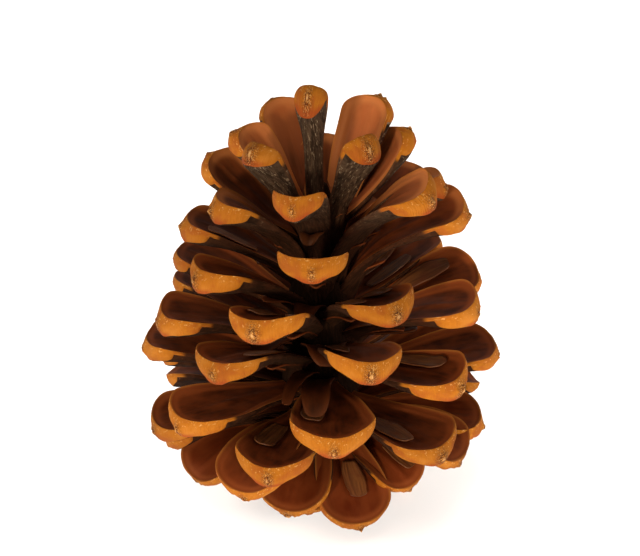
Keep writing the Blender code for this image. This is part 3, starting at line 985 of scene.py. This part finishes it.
class Nodes:
    """A short way to write a material's nodes and links."""

    def __init__(self, name):
        self.material = bpy.data.materials.new(name)
        self.material.use_nodes = True
        self.tree = self.material.node_tree
        self.shader = self.tree.nodes["Principled BSDF"]

    def put(self, kind, inputs=None, **settings):
        node = self.tree.nodes.new(kind)
        for name, value in settings.items():
            setattr(node, name, value)
        for key, value in (inputs or {}).items():
            self.join(value, node.inputs[key])
        return node

    def join(self, value, socket):
        if isinstance(value, bpy.types.NodeSocket):
            self.tree.links.new(value, socket)
        else:
            socket.default_value = value

    def finish(self, name, value):
        self.join(value, self.shader.inputs[name])

    def math(self, operation, first, second=0.0, clamp=False):
        inputs = {0: first, 1: second}
        return self.put("ShaderNodeMath", inputs, operation=operation, use_clamp=clamp).outputs[0]

    def times(self, first, second):
        return self.math("MULTIPLY", first, second)

    def plus(self, first, second):
        return self.math("ADD", first, second)

    def minus(self, first, second):
        return self.math("SUBTRACT", first, second)

    def vector(self, x, y, z):
        return self.put("ShaderNodeCombineXYZ", {0: x, 1: y, 2: z}).outputs[0]

    def parts(self, name):
        attribute = self.put("ShaderNodeAttribute", attribute_name=name)
        split = self.put("ShaderNodeSeparateXYZ", {0: attribute.outputs["Vector"]})
        return split.outputs[0], split.outputs[1], split.outputs[2]

    def pattern(self, name, x, y, seed):
        """The named noise pattern over two coordinates."""
        wide, tall, scale, detail, roughness = PATTERNS[name]
        place = self.vector(self.times(x, wide), self.times(y, tall), seed)
        inputs = {"Vector": place, "Scale": scale, "Detail": detail, "Roughness": roughness}
        return self.put("ShaderNodeTexNoise", inputs).outputs[0]

    def step(self, value, name):
        """A smooth step from where the named look sets in to where it is full."""
        start, end, low, high = (*STEPS[name], 0.0, 1.0)[:4]
        inputs = {"Value": value, "From Min": start, "From Max": end, "To Min": low, "To Max": high}
        kind = {"interpolation_type": "SMOOTHSTEP"}
        return self.put("ShaderNodeMapRange", inputs, **kind).outputs[0]

    def blend(self, share, first, second, mode="MIX"):
        node = self.put("ShaderNodeMix", data_type="RGBA", blend_type=mode)
        self.join(share, node.inputs["Factor"])
        self.join(first, [i for i in node.inputs if i.name == "A" and i.type == "RGBA"][0])
        self.join(second, [i for i in node.inputs if i.name == "B" and i.type == "RGBA"][0])
        return [o for o in node.outputs if o.type == "RGBA"][0]

    def cover(self, under, share, name):
        """A colour that turns to the named look's own colour where its share is high."""
        if name in STRENGTHS:
            share = self.times(share, STRENGTHS[name])
        return self.blend(share, under, colour(name))

    def look(self, under, value, name):
        """A colour under the named look, whose share is the step of the same name."""
        return self.cover(under, self.step(value, name), name)


def colour(name):
    """The shader's form of one of the screen colours."""
    values = []
    for value in COLOURS[name]:
        share = value / 255
        values.append(share / 12.92 if share <= 0.04045 else ((share + 0.055) / 1.055) ** 2.4)
    return (*values, 1.0)


def face_colour(n, edge, high, streaks, patches):
    """Dark red-brown upper faces with a paler rim, much paler in the crown."""
    face = n.blend(n.step(streaks, "face streaks"), colour("dark face"), colour("light face"))
    face = n.look(face, patches, "face patches")
    face = n.look(face, high, "crown face")
    face = n.look(face, high, "low face")
    inside = n.times(n.step(edge, "inside the rim"), n.step(patches, "patchy inside"))
    face = n.blend(inside, colour("inner rim"), face)
    crown_rim = n.times(n.step(edge, "crown rim"), n.step(high, "crown rim height"))
    face = n.cover(face, crown_rim, "crown rim")
    return n.look(face, edge, "lip")


def underside_colour(n, high, patches, fibres, flecks):
    """Dark brown fibres, and grey ones on the stalks of the crown."""
    shares = n.step(fibres, "underside fibres")
    below = n.blend(shares, colour("dark underside"), colour("light underside"))
    below = n.look(below, flecks, "underside flecks")
    below = n.look(below, patches, "underside patches")
    grey = n.blend(n.step(fibres, "grey fibres"), colour("dark grey"), colour("light grey"))
    grey = n.look(grey, flecks, "grey flecks")
    return n.blend(n.step(high, "grey stalks"), below, grey)


def cone_material():
    """Tan cracked ends, dark red-brown upper faces and grey-brown fibrous undersides."""
    n = Nodes("pine_cone_wood")
    upper, ended, edge = n.parts("zone")
    across, along, tone = n.parts("spot")
    turn, drop, boss = n.parts("end_place")
    seed = n.times(tone, WOOD_SEED_STRIDE)
    height_place = n.put("ShaderNodeTexCoord").outputs["Object"]
    high = n.put("ShaderNodeSeparateXYZ", {0: height_place}).outputs[2]

    streaks = n.pattern("streaks", across, along, seed)
    patches = n.pattern("patches", across, along, seed)
    face = face_colour(n, edge, high, streaks, patches)
    fibres = n.pattern("fibres", across, along, seed)
    flecks = n.pattern("flecks", across, along, seed)
    below = underside_colour(n, high, patches, fibres, flecks)

    rays = n.pattern("rays", turn, drop, seed)
    clouds = n.pattern("clouds", turn, drop, seed)
    end = n.blend(n.step(rays, "rays"), colour("dark end"), colour("light end"))
    end = n.look(end, clouds, "dark clouds")
    end = n.look(end, clouds, "pale clouds")
    beside = n.step(n.math("ABSOLUTE", across), "low lump side")
    end = n.cover(end, n.times(n.step(drop, "low lump"), beside), "low lump")

    skin_place = n.vector(across, n.times(drop, SKIN_STRETCH), seed)
    skin = {"Vector": skin_place, "Scale": SKIN_SCALE}
    cracks = n.put("ShaderNodeTexVoronoi", skin, feature="DISTANCE_TO_EDGE").outputs[0]
    wander = n.pattern("wander", across, drop, seed)
    crack = n.step(n.minus(cracks, n.times(wander, CRACK_WANDER)), "cracks")
    near = n.step(n.plus(boss, n.times(wander, BOSS_WANDER)), "near the boss")
    crack = n.math("MULTIPLY", crack, near, clamp=True)
    end = n.cover(end, crack, "cracks")
    ring = n.times(n.step(boss, "ring start"), n.step(boss, "ring end"))
    end = n.cover(end, n.times(ring, n.step(wander, "broken ring")), "ring")
    end = n.look(end, n.pattern("pits", across, drop, seed), "pits")
    specks = n.step(n.pattern("specks", across, drop, seed), "specks")
    end = n.cover(end, n.times(specks, n.step(boss, "specks near the boss")), "specks")
    end = n.look(end, boss, "point")
    rim_flecks = n.step(n.pattern("rim flecks", across, drop, seed), "rim flecks")
    rim_flecks = n.times(rim_flecks, n.step(drop, "rim flecks drop"))
    end = n.cover(end, rim_flecks, "rim flecks")

    base = n.blend(n.step(upper, "upper"), below, face)
    base = n.blend(n.step(ended, "ended"), base, end)
    # The tone sets each piece's brightness: random per scale, plus painted light on one side of the
    # cone and painted shade on the bracts and the core.
    shade = n.plus(DARKEST_SHADE, n.times(tone, TONE_SHADE))
    n.finish("Base Color", n.blend(1.0, base, n.vector(shade, shade, shade), "MULTIPLY"))

    under_height = n.times(n.times(fibres, RELIEF["fibres"]), n.step(upper, "underside relief"))
    height = n.plus(n.times(streaks, RELIEF["streaks"]), under_height)
    end_height = n.plus(n.times(rays, RELIEF["rays"]), n.times(wander, RELIEF["wander"]))
    end_height = n.minus(end_height, n.times(crack, RELIEF["cracks"]))
    end_height = n.plus(end_height, n.times(rim_flecks, RELIEF["rim flecks"]))
    height = n.plus(height, n.times(end_height, ended))
    bump = n.put("ShaderNodeBump", {**WOOD_BUMP, "Height": height})
    n.finish("Normal", bump.outputs[0])
    rough = n.plus(n.step(upper, "roughness"), n.times(streaks, STREAK_ROUGHNESS))
    rough = n.plus(rough, n.times(ended, END_ROUGHNESS))
    n.finish("Roughness", n.minus(rough, n.times(near, BOSS_SMOOTHNESS)))
    n.finish("Specular IOR Level", WOOD_SPECULAR)
    n.finish("Specular Tint", WOOD_SPECULAR_TINT)
    return n.material


def wing_material():
    """Thin brown paper with darker lines along it."""
    n = Nodes("papery_seed_wing")
    across, along, number = n.parts("spot")
    seed = n.times(number, PAPER_SEED_STRIDE)
    lines = n.pattern("paper lines", across, along, seed)
    clouds = n.pattern("paper clouds", across, along, seed)
    paper = n.blend(n.step(lines, "paper lines"), colour("dark paper"), colour("light paper"))
    n.finish("Base Color", n.look(paper, clouds, "paper clouds"))
    bump = n.put("ShaderNodeBump", {**PAPER_BUMP, "Height": lines})
    n.finish("Normal", bump.outputs[0])
    n.finish("Roughness", n.step(clouds, "paper roughness"))
    return n.material


def make_axis(material):
    """The woody core, lumpy where the scales leave it."""
    heights, radii = zip(*AXIS_PROFILE)
    levels = np.linspace(heights[0], heights[-1], AXIS_LEVELS)[:, None]
    angle = np.linspace(0, 2 * math.pi, AXIS_COLUMNS, endpoint=False)[None, :]
    radius = np.interp(levels, heights, radii) * (1 + 0 * angle)
    up = np.sin(angle) * AXIS_LUMPS + levels / AXIS_LUMP_HEIGHT
    lumps = smooth_noise(np.cos(angle) * AXIS_LUMPS + 10, up, AXIS_SEED)
    radius = radius + AXIS_LUMP_DEPTH * lumps * ramp(levels, *AXIS_LUMP_RISE)
    x, y = radius * np.sin(angle), -radius * np.cos(angle)
    points = np.stack((x, y, np.maximum(levels + 0 * x, LOWEST_POINT)), axis=-1)
    rows, ring = points.shape[:2]
    nowhere = np.tile((0.0, 0.0, FAR_AWAY), (rows * ring, 1))
    # Painted shade: the core's tone is dark.
    spot = (angle * AXIS_GRAIN + 0 * levels, levels + 0 * angle, AXIS_PAINTED_SHADE_TONE + 0 * x)
    obj = new_mesh("cone_axis", points.reshape(-1, 3), tube_faces(rows, ring), {
        "zone": nowhere,
        "spot": np.stack(spot, axis=-1).reshape(-1, 3),
        "end_place": nowhere,
    })
    obj.data.materials.append(material)
    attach(obj, "root")
    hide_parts("pine_cone")


def area_light(name, azimuth, elevation, distance, size, power, tint):
    light = bpy.data.lights.new(name, "AREA")
    light.shape = "DISK"
    light.size = size
    light.energy = power
    light.color = tint
    obj = bpy.data.objects.new(name, light)
    obj.location = round_point(azimuth, elevation, distance)
    obj.rotation_euler = (TARGET - obj.location).to_track_quat("-Z", "Y").to_euler()
    bpy.context.scene.collection.objects.link(obj)
    return obj


def round_point(azimuth, elevation, distance):
    """A place round the target. Azimuth 0 is at the camera's side and grows to its right."""
    side, up = math.radians(azimuth), math.radians(elevation)
    flat = distance * math.cos(up)
    return TARGET + Vector((flat * math.sin(side), -flat * math.cos(side), distance * math.sin(up)))


def make_floor():
    mesh = bpy.data.meshes.new("floor")
    sides = ((-1, -1), (1, -1), (1, 1), (-1, 1))
    corners = [(x * FLOOR_HALF, y * FLOOR_HALF, FLOOR_HEIGHT) for x, y in sides]
    mesh.from_pydata(corners, [], [(0, 1, 2, 3)])
    floor = bpy.data.objects.new("floor", mesh)
    bpy.context.scene.collection.objects.link(floor)
    n = Nodes("pale_floor")
    n.finish("Base Color", FLOOR_COLOUR)
    n.finish("Roughness", FLOOR_ROUGHNESS)
    mesh.materials.append(n.material)
    floor.visible_glossy = False
    return floor


def make_studio():
    """Floor, sky and lamps. The two washes light the floor alone, and one of them is unshadowed."""
    scene = bpy.context.scene
    floor = make_floor()
    world = scene.world or bpy.data.worlds.new("studio")
    scene.world = world
    world.use_nodes = True
    background = world.node_tree.nodes["Background"]
    background.inputs["Color"].default_value = WORLD_COLOUR
    background.inputs["Strength"].default_value = WORLD_STRENGTH

    lamps = {name: area_light(name, *values) for name, values in LAMPS.items()}
    lamps["back_fill"].visible_glossy = False
    washed = bpy.data.collections.new("lit_by_the_wash")
    washed.objects.link(floor)
    lamps["floor_wash"].light_linking.receiver_collection = washed
    lamps["floor_wash"].light_linking.blocker_collection = washed
    lamps["shadow_wash"].light_linking.receiver_collection = washed
    scene.view_settings.view_transform = "Standard"


def make_camera():
    camera = bpy.data.cameras.new("camera")
    camera.sensor_width = SENSOR_WIDTH
    camera.lens = LENS
    camera.shift_y = SHIFT_UP
    camera.clip_start = CLIP_START
    viewer = bpy.data.objects.new("camera", camera)
    viewer.location = round_point(0, math.degrees(VIEW_ELEVATION), VIEW_DISTANCE)
    viewer.rotation_euler = (math.pi / 2 - VIEW_ELEVATION, 0, 0)
    bpy.context.scene.collection.objects.link(viewer)
    bpy.context.scene.camera = viewer


def main():
    dice = random.Random(SEED)
    scales = {rank: scale_at(rank, dice) for rank in range(LOWEST_RANK, HIGHEST_RANK + 1)}
    tones = random.Random(SEED + 1)
    for scale in scales.values():
        # Painted light: scales that face the lit side get a paler tone.
        facing = math.cos(math.radians(scale["azimuth"] - PAINTED_LIGHT_SIDE_AZIMUTH))
        scale["tone"] = tones.random() + PAINTED_LIGHT_SIDE_TONE * max(0.0, facing) ** 2
    wood = cone_material()
    paper = wing_material()
    faces = scale_faces()
    for number, (first, last) in enumerate(SCALE_GROUPS, 1):
        group = [scales[rank] for rank in range(first, last + 1)]
        make_scales(f"scales_{number}", group, faces, wood)
    make_axis(wood)
    make_bracts(scales, wood)
    for number, (rank, side, start, end) in enumerate(WINGS, 1):
        make_wing(number, scales[rank], side, start, end, paper)
    make_studio()
    make_camera()


main()
